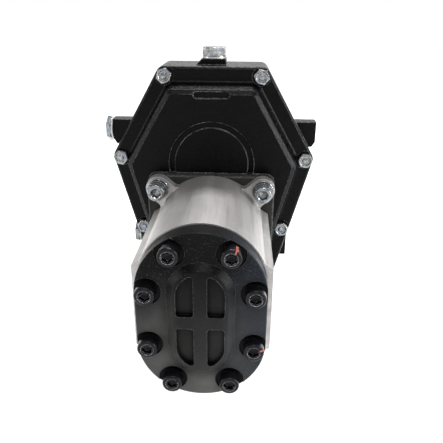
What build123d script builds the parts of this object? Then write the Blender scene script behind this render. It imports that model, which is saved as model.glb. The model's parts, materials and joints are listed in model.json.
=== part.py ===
from build123d import *
import os
from math import acos, cos, hypot, pi, radians, sin, tan

# A hydraulic gear pump bolted to the speed-increasing gearbox that drives it from a tractor.
# Frame: X to the right, Y towards the tractor, Z up. The origin is where the input axis meets
# the rear face of the gearbox. Stations are distances in front of that face, towards -Y.

os.makedirs("parts", exist_ok=True)

# --- Gearing of the gearbox
MODULE = 3.0
WHEEL_TEETH = 52
PINION_TEETH = 17
BOX_PRESSURE_ANGLE = 20.0
CENTRES = MODULE * (WHEEL_TEETH + PINION_TEETH) / 2
BACKLASH = 0.24
DEDENDUM = 1.25

# --- Gearing of the pump
PUMP_MODULE = 3.5
PUMP_TEETH = 12
PUMP_PRESSURE_ANGLE = 28.0
PUMP_CENTRES = PUMP_MODULE * PUMP_TEETH
PUMP_TIP_RADIUS = PUMP_CENTRES / 2 + PUMP_MODULE

# --- Heights
DRIVE_HEIGHT = -CENTRES
PUMP_HEIGHT = DRIVE_HEIGHT + PUMP_CENTRES / 2
DRIVEN_HEIGHT = DRIVE_HEIGHT + PUMP_CENTRES

# --- Thicknesses along the machine
REAR_WALL = 12.0
HOUSING_DEPTH = 44.5
GASKET = 0.5
COVER_FLANGE = 12.0
PLATEAU_RISE = 22.0
PAD_RISE = 10.0
PUMP_FLANGE = 10.0
BODY_LENGTH = 102.5
END_COVER = 16.0
WEB_RISE = 5.5

# --- Stations, in front of the rear face
COVER_BACK = HOUSING_DEPTH + GASKET
FLANGE_FRONT = COVER_BACK + COVER_FLANGE
PLATEAU_FRONT = FLANGE_FRONT + PLATEAU_RISE
PAD_FRONT = PLATEAU_FRONT + PAD_RISE
PUMP_FLANGE_FRONT = PAD_FRONT + PUMP_FLANGE
BODY_FRONT = PUMP_FLANGE_FRONT + BODY_LENGTH
END_COVER_FRONT = BODY_FRONT + END_COVER
WEB_FRONT = END_COVER_FRONT + WEB_RISE
HUB_MOUTH = -38.0

# --- Casting outline: round lobes on the bolt centres, joined by tangents
BOLT_CIRCLE_RADIUS = 92.0
TAPER_STEP = 0.265
LOWER_BOLT_HEIGHT = -74.7
BOTTOM_BOLT_HEIGHT = -168.0
LOBE_RADIUS = 8.5
TOP_BOLT_X = BOLT_CIRCLE_RADIUS / 2
TOP_BOLT_HEIGHT = BOLT_CIRCLE_RADIUS * sin(radians(60))
LOWER_BOLT_X = BOLT_CIRCLE_RADIUS + TAPER_STEP * LOWER_BOLT_HEIGHT
BOTTOM_BOLT_X = BOLT_CIRCLE_RADIUS + TAPER_STEP * BOTTOM_BOLT_HEIGHT
TOP_BOLT = (TOP_BOLT_X, TOP_BOLT_HEIGHT)
SIDE_BOLT = (BOLT_CIRCLE_RADIUS, 0.0)
LOWER_BOLT = (LOWER_BOLT_X, LOWER_BOLT_HEIGHT)
BOTTOM_BOLT = (BOTTOM_BOLT_X, BOTTOM_BOLT_HEIGHT)
RIGHT_BOLTS = [TOP_BOLT, SIDE_BOLT, LOWER_BOLT, BOTTOM_BOLT]
BOX_BOLTS = RIGHT_BOLTS + [(-x, z) for x, z in reversed(RIGHT_BOLTS)]
RIGHT_CORNERS = [TOP_BOLT, SIDE_BOLT, BOTTOM_BOLT]
CORNERS = RIGHT_CORNERS + [(-x, z) for x, z in reversed(RIGHT_CORNERS)]

# --- Threads and fastener sizes
M8_RADIUS = 4.0
M8_CLEARANCE = 4.4
M8_HEX = 13.0
M8_HEAD = 5.5
M8_DEPTH = 20.0
M8_SPOTFACE = 9.0
SPOTFACE_DEPTH = 0.6
M10_RADIUS = 5.0
M10_CLEARANCE = 5.3
M10_HEAD_RADIUS = 8.0
M10_HEAD = 10.0
M10_SOCKET = 8.0
SOCKET_DEPTH = 5.5
THREAD_GAP = 0.02
THREAD_RUNOUT = 2.0
EDGE_CHAMFER = 0.8
DOWEL_RADIUS = 4.0
DOWEL_REACH = 9.0
DOWEL_GAP = 0.2

# --- Gearbox inside
WHEEL_TIP_RADIUS = MODULE * (WHEEL_TEETH + 2) / 2
WHEEL_CLEARANCE = 3.0
WHEEL_CAVITY = WHEEL_TIP_RADIUS + WHEEL_CLEARANCE
SUMP_RADIUS = 45.0
SEAT_WALL = 7.0
SEAT_RISE = 12.0
SEAT_STANDOFF = 2.0
COLLAR = 2.0
SPACER = 1.0
REAR_SEAT_FRONT = REAR_WALL + SEAT_RISE
FRONT_SEAT_BACK = COVER_BACK + SEAT_STANDOFF
WHEEL_BACK = REAR_SEAT_FRONT + COLLAR
WHEEL_FRONT = FRONT_SEAT_BACK - SPACER
PINION_BACK = REAR_SEAT_FRONT + SPACER
PINION_FRONT = FRONT_SEAT_BACK

# --- Input hub and its bearings, 50 x 80 x 16
HUB_RADIUS = 25.0
HUB_BEARING_RADIUS = 40.0
HUB_BEARING_WIDTH = 16.0
HUB_BALL_RADIUS = 4.5
HUB_BALLS = 13
HUB_CHAMFER = 2.0
RACE_LAND = 0.62
COLLAR_RADIUS = 31.0
WHEEL_SEAT_RADIUS = 28.0
PTO_MINOR = 14.95
PTO_MAJOR = 17.5
PTO_KEY_WIDTH = 8.7
PTO_KEYS = 6
PTO_LENGTH = 80.0
PTO_LEAD_RADIUS = 17.9
PTO_LEAD = 8.0
SEAL_RADIUS = 36.0
SEAL_SINK = 0.5
LIP_GAP = 0.2
KEY_WIDTH = 16.0
KEY_HEIGHT = 10.0
KEY_SINK = 6.0
KEY_MARGIN = 2.0
KEY_GAP = 0.2

# --- Pinion and its bearings, 40 x 68 x 15
JOURNAL_RADIUS = 20.0
PINION_BEARING_RADIUS = 34.0
PINION_BEARING_WIDTH = 15.0
PINION_BALL_RADIUS = 4.0
PINION_BALLS = 12
PINION_SHOULDER = 1.2
SLEEVE_RADIUS = 19.5
SLEEVE_RECESS = 9.0
SLEEVE_FRONT = PAD_FRONT - SLEEVE_RECESS
SPLINE_LENGTH = 36.0
SPLINE_BACK = SLEEVE_FRONT - SPLINE_LENGTH

# --- Pump mounting face, four M10 on 98.4 x 128 with a 50.8 pilot
MOUNT_WIDTH = 98.4
MOUNT_HEIGHT = 128.0
PILOT_RADIUS = 25.4
PILOT_LENGTH = 8.0
PILOT_GAP = 0.05
PAD_SIDE_MARGIN = 11.8
PAD_END_MARGIN = 10.0
PAD_WIDTH = MOUNT_WIDTH + 2 * PAD_SIDE_MARGIN
PAD_HEIGHT = MOUNT_HEIGHT + 2 * PAD_END_MARGIN
PAD_CORNER = 8.0
PAD_CHAMFER = 1.0
PAD_THREAD_DEPTH = 24.0
THREAD_BOSS_RADIUS = 9.5
THREAD_BOSS_FLOOR = 5.0

# --- Pump body
BODY_ARC_RADIUS = 52.3
LUG_RISE = 41.7
ARC_OFFSET = MOUNT_HEIGHT / 2 - LUG_RISE
PORT_FLAT_RISE = 3.2
BODY_WIDTH = 2 * (BODY_ARC_RADIUS + PORT_FLAT_RISE)
PORT_FLAT_HEIGHT = 74.0
SHOULDER_WIDTH = 6.8
SHOULDER_RISE = 4.2
LUG_RADIUS = 11.5
LUG_VALLEY = 5.0
CHAMBER_GAP = 0.2
CHAMBER_RADIUS = PUMP_TIP_RADIUS + CHAMBER_GAP
CHAMBER_WALL = 8.0
CHAMBER_BACK = PUMP_FLANGE_FRONT + CHAMBER_WALL
BLOCK_WIDTH = 26.0
BLOCK_GAP = 0.1
GEAR_BACK = CHAMBER_BACK + BLOCK_WIDTH + BLOCK_GAP
GEAR_FRONT = BODY_FRONT - BLOCK_WIDTH - BLOCK_GAP
PORT_STATION = (GEAR_BACK + GEAR_FRONT) / 2
PORT_DEPTH = 28.0
INLET_RADIUS = 13.5
INLET_WAY_RADIUS = 10.5
INLET_BOLT_CIRCLE = 51.0
OUTLET_RADIUS = 9.5
OUTLET_WAY_RADIUS = 7.0
OUTLET_BOLT_CIRCLE = 40.0
PORT_THREAD_DEPTH = 16.0
SHAFT_RADIUS = 11.0
SHAFT_HOLE_GAP = 1.0
SHAFT_END_GAP = 1.5
RUNNING_GAP = 0.05
BUSH_RADIUS = 13.0
SHAFT_SPLINE_MINOR = 9.4
SHAFT_SPLINE_KEY = 4.6
SPLINE_GAP = 0.06
SPLINE_END_GAP = 1.0
SHAFT_SEAL_RADIUS = 19.0
SHAFT_SEAL_BEHIND = 6.0
SHAFT_SEAL_AHEAD = 1.0
SHAFT_SEAL_BACK = PAD_FRONT - SHAFT_SEAL_BEHIND
SHAFT_SEAL_FRONT = PAD_FRONT + SHAFT_SEAL_AHEAD
CIRCLIP_RADIUS = 20.0
CIRCLIP_WIDTH = 1.2
CIRCLIP_RING = 3.5
CIRCLIP_MOUTH = 9.0
O_RING_RADIUS = 28.7
O_RING_SECTION = 1.0
O_RING_GAP = 0.1
SEAL_TRACK_INNER = 28.8
SEAL_TRACK_OUTER = 31.2
SEAL_TRACK_DEPTH = 2.0

# --- Pump end cover
COVER_ARC_RADIUS = 51.0
END_BOLT_RADIUS = 41.6
END_BOLT_ANGLES = (2.3, 56.5)
END_SPOTFACE = 11.5
END_SPOTFACE_DEPTH = 1.5
END_THREAD_DEPTH = 20.0
END_COVER_FILLET = 1.2
WEB_SPREAD = 1.2
WEB_OFFSET = ARC_OFFSET + WEB_SPREAD
WEB_BASE_RADIUS = 26.3
WEB_TAPER = 42.0
WEB_FILLET = 0.8
POCKET_RADIUS = 18.7
POCKET_DEPTH = 4.0
POCKET_RIB = 10.6
POCKET_FILLET = 2.4

# --- Plugs, ears, pads and the filler boss of the gearbox
PLUG_HEX = 22.0
PLUG_HEX_HEIGHT = 7.6
SIDE_PLUG_HEX_HEIGHT = 4.2
PLUG_COLLAR = 1.2
PLUG_COLLAR_RADIUS = 11.2
PLUG_THREAD_RADIUS = 6.0
PLUG_THREAD = 12.0
PLUG_WASHER_RADIUS = 11.3
PLUG_WASHER = 1.4
SIDE_BACK = 24.0
SIDE_DEPTH = 16.0
EAR_ROOT = 60.0
EAR_STANDOUT = 2.5
EAR_REACH = BOLT_CIRCLE_RADIUS + LOBE_RADIUS + EAR_STANDOUT
EAR_BOTTOM = 9.0
EAR_CHAMFER = 3.2
EAR_TOP = 34.0
LOW_PAD_ROOT = 50.0
LOW_PAD_REACH = 80.0
LOW_PAD_TOP = -78.0
LOW_PAD_BOTTOM = -114.0
LEVEL_HEIGHT = 23.0
DRAIN_HEIGHT = -93.0
CASTING_TOP = TOP_BOLT_HEIGHT + LOBE_RADIUS
TOP_BOSS_RISE = 5.5
TOP_BOSS_HALF_WIDTH = 11.5
TOP_BOSS_STEEP_SIDE = 1.0
TOP_BOSS_DEPTH = 24.0
TOP_BOSS_SINK = 3.0
TOP_BOSS_HEIGHT = CASTING_TOP + TOP_BOSS_RISE
TOP_BOSS_STATION = 28.0
FILLER_CLEARANCE = 2.0
FILLER_THREAD = TOP_BOSS_HEIGHT - WHEEL_TIP_RADIUS - FILLER_CLEARANCE
HOLE_OVERLAP = 7.0
FILLER_REACH = TOP_BOSS_HEIGHT - WHEEL_CAVITY + HOLE_OVERLAP
LEVEL_REACH = EAR_REACH - WHEEL_CAVITY + HOLE_OVERLAP
DRAIN_REACH = LOW_PAD_REACH - SUMP_RADIUS + HOLE_OVERLAP
BRACKET_THREAD_RADIUS = 6.0
BRACKET_THREAD_DEPTH = 14.0
REAR_FILLET = 6.0
REAR_PATTERN_CIRCLE = 118.0
REAR_THREAD_DEPTH = 18.0
REAR_BOSS_RADIUS = 11.0
REAR_RELIEF = 3.0
REAR_RIB_WIDTH = 7.0
REAR_RIB_ANGLES = (-106, -90, -74, 0, 60, 120, 180)


# ---------------------------------------------------------------------------- helpers

def facing(station, height=0.0):
    """Plane in front of the rear face, looking at the pump: local X right, local Y up."""
    return Plane(origin=(0, -station, height), x_dir=(1, 0, 0), z_dir=(0, -1, 0))


def sideways(side, reach, station=0.0, height=0.0):
    """Plane at a distance to one side, facing outwards, with local Y up."""
    return Plane(origin=(side * reach, -station, height), x_dir=(0, side, 0), z_dir=(side, 0, 0))


def save(piece, name):
    """Label a finished piece and write it."""
    piece.part.label = name
    export_step(piece.part, f"parts/{name}.step")


def polar_point(radius, angle):
    """Point of the sketch plane at a radius and an angle in radians."""
    return (radius * cos(angle), radius * sin(angle))


def involute(angle):
    """Involute function of an angle in radians."""
    return tan(angle) - angle


def gear_outline(teeth, module, pressure_angle, first_tooth):
    """Closed outline of an involute gear whose first tooth points at an angle in degrees."""
    pitch_radius = module * teeth / 2
    base_radius = pitch_radius * cos(radians(pressure_angle))
    root_radius = pitch_radius - DEDENDUM * module
    tip_radius = pitch_radius + module
    flank_start = max(base_radius, root_radius)
    pitch_angle = (pi * module / 2 - BACKLASH) / (2 * pitch_radius)

    def half_angle(radius):
        """Half of the tooth's angle at a radius."""
        at_radius = involute(acos(base_radius / radius))
        return pitch_angle + involute(radians(pressure_angle)) - at_radius

    flank_radii = [flank_start + (tip_radius - flank_start) * step / 3 for step in range(4)]
    root_half_angle = half_angle(flank_start)
    tooth_step = 2 * pi / teeth
    for tooth in range(teeth):
        middle = radians(first_tooth) + tooth * tooth_step
        rising = [polar_point(radius, middle - half_angle(radius)) for radius in flank_radii]
        falling = [polar_point(radius, middle + half_angle(radius)) for radius in flank_radii]
        root_in = polar_point(root_radius, middle - root_half_angle)
        root_out = polar_point(root_radius, middle + root_half_angle)
        next_root = polar_point(root_radius, middle + tooth_step - root_half_angle)
        gap_middle = polar_point(root_radius, middle + tooth_step / 2)
        if root_radius < flank_start:
            Line(root_in, rising[0])
            Line(falling[0], root_out)
        else:
            root_out = falling[0]
        Spline(*rising)
        ThreePointArc(rising[-1], polar_point(tip_radius, middle), falling[-1])
        Spline(*reversed(falling))
        ThreePointArc(root_out, gap_middle, next_root)


def spline_section(minor, major, keys, key_width):
    """Straight-sided spline section added to the current sketch."""
    Circle(minor)
    with PolarLocations(0, keys, start_angle=90):
        Rectangle(major, key_width, align=(Align.MIN, Align.CENTER))
    Circle(major, mode=Mode.INTERSECT)


def casting_outline():
    """Outline shared by the housing, the gasket and the cover flange."""
    with Locations(*BOX_BOLTS):
        Circle(LOBE_RADIUS)
    make_hull()


def cavity_outline():
    """Room for the wheel above and the pinion and sump below."""
    Circle(WHEEL_CAVITY)
    with Locations((0, DRIVE_HEIGHT)):
        Circle(SUMP_RADIUS)
    make_hull()


def stadium(radius, offset):
    """Upright slot shape with its arc centres above and below the middle."""
    SlotCenterToCenter(2 * offset, 2 * radius, rotation=90)


def port_flats():
    """Block across the two port flats, with shoulders that slope to the barrel."""
    flat_x = BODY_WIDTH / 2
    flat_z = PORT_FLAT_HEIGHT / 2
    upper = [
        (flat_x, flat_z),
        (flat_x - SHOULDER_WIDTH, flat_z + SHOULDER_RISE),
        (SHOULDER_WIDTH - flat_x, flat_z + SHOULDER_RISE),
        (-flat_x, flat_z),
    ]
    lower = [(x, -z) for x, z in reversed(upper)]
    Polygon(*upper, *lower, align=None)


def washer(inner, outer, start, end, height=0.0):
    """Plain ring about a Y axis between two stations."""
    with BuildPart() as ring:
        with BuildSketch(facing(start, height)):
            Circle(outer)
            Circle(inner, mode=Mode.SUBTRACT)
        extrude(amount=end - start)
    return ring


def ball_bearing(prefix, bore, outer, start, width, ball, balls, height):
    """Outer ring, inner ring and balls of a deep-groove bearing, each saved by name."""
    pitch = (bore + outer) / 2
    middle = start + width / 2
    land = RACE_LAND * ball
    for ring_name, inside, outside in (
        ("outer_ring", pitch + land, outer),
        ("inner_ring", bore, pitch - land),
    ):
        with BuildPart() as ring:
            with BuildSketch(facing(start, height)):
                Circle(outside)
                Circle(inside, mode=Mode.SUBTRACT)
            extrude(amount=width)
            with Locations((0, -middle, height)):
                Torus(pitch, ball + RUNNING_GAP, rotation=(90, 0, 0), mode=Mode.SUBTRACT)
        save(ring, f"{prefix}_{ring_name}")
    with BuildPart(facing(middle, height)) as ball_set:
        with PolarLocations(pitch, balls):
            Sphere(ball)
    save(ball_set, f"{prefix}_balls")


def oil_plug(plane, hex_height, thread):
    """Hexagon plug with a collar, screwed in along the plane's normal."""
    with BuildPart() as plug:
        with BuildSketch(plane.offset(PLUG_WASHER)):
            Circle(PLUG_COLLAR_RADIUS)
        extrude(amount=PLUG_COLLAR)
        with BuildSketch(plane.offset(PLUG_WASHER + PLUG_COLLAR)):
            RegularPolygon(PLUG_HEX / 2, 6, major_radius=False, rotation=30)
        extrude(amount=hex_height)
        hex_end = plug.faces().sort_by(Axis(plane.origin, plane.z_dir))[-1]
        chamfer(hex_end.edges(), EDGE_CHAMFER)
        with BuildSketch(plane.offset(-thread)):
            Circle(PLUG_THREAD_RADIUS - THREAD_GAP)
        extrude(amount=thread + PLUG_WASHER)
    return plug


def plug_washer(plane):
    """Soft sealing washer under an oil plug."""
    with BuildPart() as ring:
        with BuildSketch(plane):
            Circle(PLUG_WASHER_RADIUS)
            Circle(PLUG_THREAD_RADIUS, mode=Mode.SUBTRACT)
        extrude(amount=PLUG_WASHER)
    return ring


def socket_screws(places, seat, length):
    """Socket head cap screws whose heads sit on one station and point forwards."""
    with BuildPart() as screws:
        with BuildSketch(facing(seat)):
            with Locations(*places):
                Circle(M10_HEAD_RADIUS)
        extrude(amount=M10_HEAD)
        chamfer(screws.faces().group_by(Axis.Y)[0].edges(), EDGE_CHAMFER)
        with BuildSketch(facing(seat + M10_HEAD - SOCKET_DEPTH)):
            with Locations(*places):
                RegularPolygon(M10_SOCKET / 2, 6, major_radius=False)
        extrude(amount=SOCKET_DEPTH, mode=Mode.SUBTRACT)
        with BuildSketch(facing(seat - length)):
            with Locations(*places):
                Circle(M10_RADIUS - THREAD_GAP)
        extrude(amount=length)
    return screws


# ---------------------------------------------------------------------------- positions

MOUNT_PLACES = [
    (side * MOUNT_WIDTH / 2, PUMP_HEIGHT + end * MOUNT_HEIGHT / 2)
    for side in (-1, 1)
    for end in (-1, 1)
]
END_BOLTS = []
for end in (-1, 1):
    for side in (-1, 1):
        for angle in END_BOLT_ANGLES:
            bolt_x = side * END_BOLT_RADIUS * cos(radians(angle))
            bolt_z = end * (ARC_OFFSET + END_BOLT_RADIUS * sin(radians(angle)))
            END_BOLTS.append((bolt_x, PUMP_HEIGHT + bolt_z))
DOWEL_PLACES = [
    (side * (LOWER_BOLT_X + BOTTOM_BOLT_X) / 2, (LOWER_BOLT_HEIGHT + BOTTOM_BOLT_HEIGHT) / 2)
    for side in (-1, 1)
]
SIDE_STATION = SIDE_BACK + SIDE_DEPTH / 2
FILLER_PLANE = Plane(
    origin=(0, -TOP_BOSS_STATION, TOP_BOSS_HEIGHT), x_dir=(1, 0, 0), z_dir=(0, 0, 1)
)
LEVEL_PLANE = sideways(-1, EAR_REACH, SIDE_STATION, LEVEL_HEIGHT)
DRAIN_PLANE = sideways(-1, LOW_PAD_REACH, SIDE_STATION, DRAIN_HEIGHT)
PLUGS = (
    ("filler", FILLER_PLANE, PLUG_HEX_HEIGHT, FILLER_THREAD, FILLER_REACH),
    ("level", LEVEL_PLANE, SIDE_PLUG_HEX_HEIGHT, PLUG_THREAD, LEVEL_REACH),
    ("drain", DRAIN_PLANE, SIDE_PLUG_HEX_HEIGHT, PLUG_THREAD, DRAIN_REACH),
)
HUB_REAR_SEAT = REAR_SEAT_FRONT - HUB_BEARING_WIDTH
PINION_REAR_SEAT = REAR_SEAT_FRONT - PINION_BEARING_WIDTH
HUB_FRONT_SEAT_END = FRONT_SEAT_BACK + HUB_BEARING_WIDTH
PINION_FRONT_SEAT_END = FRONT_SEAT_BACK + PINION_BEARING_WIDTH


# ---------------------------------------------------------------------------- gearbox shell

with BuildPart() as gearbox_housing:
    with BuildSketch(facing(0)):
        casting_outline()
    extrude(amount=HOUSING_DEPTH)
    fillet(gearbox_housing.faces().sort_by(Axis.Y)[-1].edges(), REAR_FILLET)
    # rear face relieved between a ring for the bracket, the pinion boss and stiffening ribs
    rib_reach = BOLT_CIRCLE_RADIUS - BOTTOM_BOLT_HEIGHT
    with BuildSketch(facing(0)):
        Polygon(*CORNERS, align=None)
        Circle(REAR_PATTERN_CIRCLE / 2 + REAR_BOSS_RADIUS, mode=Mode.SUBTRACT)
        with Locations((0, DRIVE_HEIGHT)):
            Circle(PINION_BEARING_RADIUS, mode=Mode.SUBTRACT)
        for rib_angle in REAR_RIB_ANGLES:
            Rectangle(
                rib_reach,
                REAR_RIB_WIDTH,
                rotation=rib_angle,
                align=(Align.MIN, Align.CENTER),
                mode=Mode.SUBTRACT,
            )
    extrude(amount=REAR_RELIEF, mode=Mode.SUBTRACT)
    # ears beside the wheel and pads beside the sump
    for side in (-1, 1):
        with BuildSketch(facing(SIDE_BACK)):
            with BuildLine():
                Polyline(
                    (side * EAR_ROOT, EAR_BOTTOM),
                    (side * (EAR_REACH - EAR_CHAMFER), EAR_BOTTOM),
                    (side * EAR_REACH, EAR_BOTTOM + 1.6 * EAR_CHAMFER),
                    (side * EAR_REACH, EAR_TOP),
                    (side * EAR_ROOT, EAR_TOP),
                    close=True,
                )
            make_face()
            with BuildLine():
                Polyline(
                    (side * LOW_PAD_ROOT, LOW_PAD_BOTTOM),
                    (side * LOW_PAD_REACH, LOW_PAD_BOTTOM),
                    (side * LOW_PAD_REACH, LOW_PAD_TOP),
                    (side * LOW_PAD_ROOT, LOW_PAD_TOP),
                    close=True,
                )
            make_face()
        extrude(amount=SIDE_DEPTH)
    # filler boss, sloping on the left and steep on the right
    boss_foot = CASTING_TOP - TOP_BOSS_SINK
    with BuildSketch(facing(TOP_BOSS_STATION - TOP_BOSS_DEPTH / 2)):
        Polygon(
            (-TOP_BOSS_HALF_WIDTH - TOP_BOSS_RISE - TOP_BOSS_SINK, boss_foot),
            (TOP_BOSS_HALF_WIDTH + TOP_BOSS_STEEP_SIDE, boss_foot),
            (TOP_BOSS_HALF_WIDTH, TOP_BOSS_HEIGHT),
            (-TOP_BOSS_HALF_WIDTH, TOP_BOSS_HEIGHT),
            align=None,
        )
    extrude(amount=TOP_BOSS_DEPTH)
    with BuildSketch(facing(REAR_WALL)):
        cavity_outline()
    extrude(amount=HOUSING_DEPTH - REAR_WALL, mode=Mode.SUBTRACT)
    # bearing seats and threaded bosses stand on the rear wall
    with BuildSketch(facing(REAR_WALL)):
        Circle(HUB_BEARING_RADIUS + SEAT_WALL)
        with Locations((0, DRIVE_HEIGHT)):
            Circle(PINION_BEARING_RADIUS + SEAT_WALL)
        with PolarLocations(REAR_PATTERN_CIRCLE / 2, 4, start_angle=45):
            Circle(REAR_BOSS_RADIUS)
    extrude(amount=SEAT_RISE)
    with BuildSketch(facing(HUB_REAR_SEAT)):
        Circle(HUB_BEARING_RADIUS)
    extrude(amount=HUB_BEARING_WIDTH, mode=Mode.SUBTRACT)
    with BuildSketch(facing(0)):
        Circle(SEAL_RADIUS)
    extrude(amount=HUB_REAR_SEAT, mode=Mode.SUBTRACT)
    with BuildSketch(facing(PINION_REAR_SEAT, DRIVE_HEIGHT)):
        Circle(PINION_BEARING_RADIUS)
    extrude(amount=PINION_BEARING_WIDTH, mode=Mode.SUBTRACT)
    with BuildSketch(facing(0)):
        with PolarLocations(REAR_PATTERN_CIRCLE / 2, 4, start_angle=45):
            Circle(M10_RADIUS)
    extrude(amount=REAR_THREAD_DEPTH, mode=Mode.SUBTRACT)
    with BuildSketch(facing(HOUSING_DEPTH - M8_DEPTH)):
        with Locations(*BOX_BOLTS):
            Circle(M8_RADIUS)
    extrude(amount=M8_DEPTH, mode=Mode.SUBTRACT)
    with BuildSketch(facing(HOUSING_DEPTH - DOWEL_REACH)):
        with Locations(*DOWEL_PLACES):
            Circle(DOWEL_RADIUS)
    extrude(amount=DOWEL_REACH, mode=Mode.SUBTRACT)
    # threaded ways for the filler, level and drain plugs
    for plug_name, plane, hex_height, thread, reach in PLUGS:
        with BuildSketch(plane):
            Circle(PLUG_THREAD_RADIUS)
        extrude(amount=-reach, mode=Mode.SUBTRACT)
    # blind bracket threads on the right
    for reach, height in ((EAR_REACH, LEVEL_HEIGHT), (LOW_PAD_REACH, DRAIN_HEIGHT)):
        with BuildSketch(sideways(1, reach, SIDE_STATION, height)):
            Circle(BRACKET_THREAD_RADIUS)
        extrude(amount=-BRACKET_THREAD_DEPTH, mode=Mode.SUBTRACT)
save(gearbox_housing, "gearbox_housing")

with BuildPart() as cover_gasket:
    with BuildSketch(facing(HOUSING_DEPTH)):
        casting_outline()
        with BuildSketch(Plane.XY, mode=Mode.SUBTRACT):
            cavity_outline()
        with Locations(*BOX_BOLTS):
            Circle(M8_CLEARANCE, mode=Mode.SUBTRACT)
        with Locations(*DOWEL_PLACES):
            Circle(DOWEL_RADIUS + DOWEL_GAP, mode=Mode.SUBTRACT)
    extrude(amount=GASKET)
save(cover_gasket, "cover_gasket")

FLANGE_FILLET = 3.5
PLATEAU_INSET = 5.8
PLATEAU_CORNER = 12.0
PLATEAU_TAPER = 11.5
PLATEAU_CHAMFER = 3.2
PLATEAU_ROOT = 3.0
PLATEAU_WALL = 10.0
RING_INNER = 35.3
RING_OUTER = 41.0
RING_DEPTH = 2.5
SLOT_DROP = 14.4
SLOT_LENGTH = 34.0
SLOT_WIDTH = 6.0
SLOT_DEPTH = 3.0
COVER_RECESS = 5.0
RECESS_FRONT = PLATEAU_FRONT - PLATEAU_WALL
THREAD_BOSS_BACK = PAD_FRONT - PAD_THREAD_DEPTH - THREAD_BOSS_FLOOR
with BuildPart() as gearbox_cover:
    with BuildSketch(facing(COVER_BACK)):
        casting_outline()
    extrude(amount=COVER_FLANGE)
    fillet(gearbox_cover.faces().sort_by(Axis.Y)[0].edges(), FLANGE_FILLET)
    with BuildSketch(facing(FLANGE_FRONT)) as plateau:
        Polygon(*CORNERS, align=None)
        offset(amount=-PLATEAU_INSET, kind=Kind.INTERSECTION)
        fillet(plateau.vertices(), PLATEAU_CORNER)
    extrude(amount=PLATEAU_RISE, taper=PLATEAU_TAPER)
    chamfer(gearbox_cover.faces().sort_by(Axis.Y)[0].edges(), PLATEAU_CHAMFER)
    flange_face = gearbox_cover.faces().sort_by(
        lambda face: abs(face.center().Y + FLANGE_FRONT)
    )[0]
    fillet(flange_face.inner_wires()[0].edges(), PLATEAU_ROOT)
    with BuildSketch(facing(FLANGE_FRONT, PUMP_HEIGHT)):
        RectangleRounded(PAD_WIDTH, PAD_HEIGHT, PAD_CORNER)
    extrude(amount=PAD_FRONT - FLANGE_FRONT)
    chamfer(gearbox_cover.faces().sort_by(Axis.Y)[0].edges(), PAD_CHAMFER)
    # ring and slot left by the casting pattern around the front bearing
    with BuildSketch(facing(PLATEAU_FRONT - RING_DEPTH)):
        Circle(RING_OUTER)
        Circle(RING_INNER, mode=Mode.SUBTRACT)
        with Locations((0, PUMP_HEIGHT)):
            Rectangle(PAD_WIDTH, PAD_HEIGHT, mode=Mode.SUBTRACT)
    extrude(amount=RING_DEPTH, mode=Mode.SUBTRACT)
    with BuildSketch(facing(PLATEAU_FRONT - SLOT_DEPTH)):
        with Locations((0, TOP_BOLT_HEIGHT - SLOT_DROP)):
            SlotOverall(SLOT_LENGTH, SLOT_WIDTH)
    extrude(amount=SLOT_DEPTH, mode=Mode.SUBTRACT)
    # shallow room for the gears, deeper behind the plateau
    with BuildSketch(facing(COVER_BACK)):
        cavity_outline()
    extrude(amount=COVER_RECESS, mode=Mode.SUBTRACT)
    with BuildSketch(facing(COVER_BACK + COVER_RECESS)):
        Polygon(*CORNERS, align=None)
        offset(amount=-PLATEAU_INSET - PLATEAU_WALL, kind=Kind.INTERSECTION)
    extrude(amount=RECESS_FRONT - COVER_BACK - COVER_RECESS, mode=Mode.SUBTRACT)
    with BuildSketch(facing(THREAD_BOSS_BACK)):
        with Locations(*MOUNT_PLACES):
            Circle(THREAD_BOSS_RADIUS)
    extrude(amount=RECESS_FRONT - THREAD_BOSS_BACK)
    with BuildSketch(facing(FRONT_SEAT_BACK)):
        Circle(HUB_BEARING_RADIUS + SEAT_WALL)
        with Locations((0, DRIVE_HEIGHT)):
            Circle(PINION_BEARING_RADIUS + SEAT_WALL)
    extrude(amount=RECESS_FRONT - FRONT_SEAT_BACK)
    with BuildSketch(facing(FRONT_SEAT_BACK)):
        Circle(HUB_BEARING_RADIUS)
    extrude(amount=HUB_BEARING_WIDTH, mode=Mode.SUBTRACT)
    with BuildSketch(facing(FRONT_SEAT_BACK, DRIVE_HEIGHT)):
        Circle(PINION_BEARING_RADIUS)
    extrude(amount=PINION_BEARING_WIDTH, mode=Mode.SUBTRACT)
    with BuildSketch(facing(PINION_FRONT_SEAT_END, DRIVE_HEIGHT)):
        Circle(PILOT_RADIUS + PILOT_GAP)
    extrude(amount=PAD_FRONT - PINION_FRONT_SEAT_END, mode=Mode.SUBTRACT)
    with BuildSketch(facing(PAD_FRONT - PAD_THREAD_DEPTH)):
        with Locations(*MOUNT_PLACES):
            Circle(M10_RADIUS)
    extrude(amount=PAD_THREAD_DEPTH, mode=Mode.SUBTRACT)
    with BuildSketch(facing(COVER_BACK)):
        with Locations(*DOWEL_PLACES):
            Circle(DOWEL_RADIUS)
    extrude(amount=DOWEL_REACH, mode=Mode.SUBTRACT)
    with BuildSketch(facing(COVER_BACK)):
        with Locations(*BOX_BOLTS):
            Circle(M8_CLEARANCE)
    extrude(amount=COVER_FLANGE, mode=Mode.SUBTRACT)
    with BuildSketch(facing(FLANGE_FRONT - SPOTFACE_DEPTH)):
        with Locations(*BOX_BOLTS):
            Circle(M8_SPOTFACE)
    extrude(amount=PLATEAU_RISE + SPOTFACE_DEPTH, mode=Mode.SUBTRACT)
save(gearbox_cover, "gearbox_cover")

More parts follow.
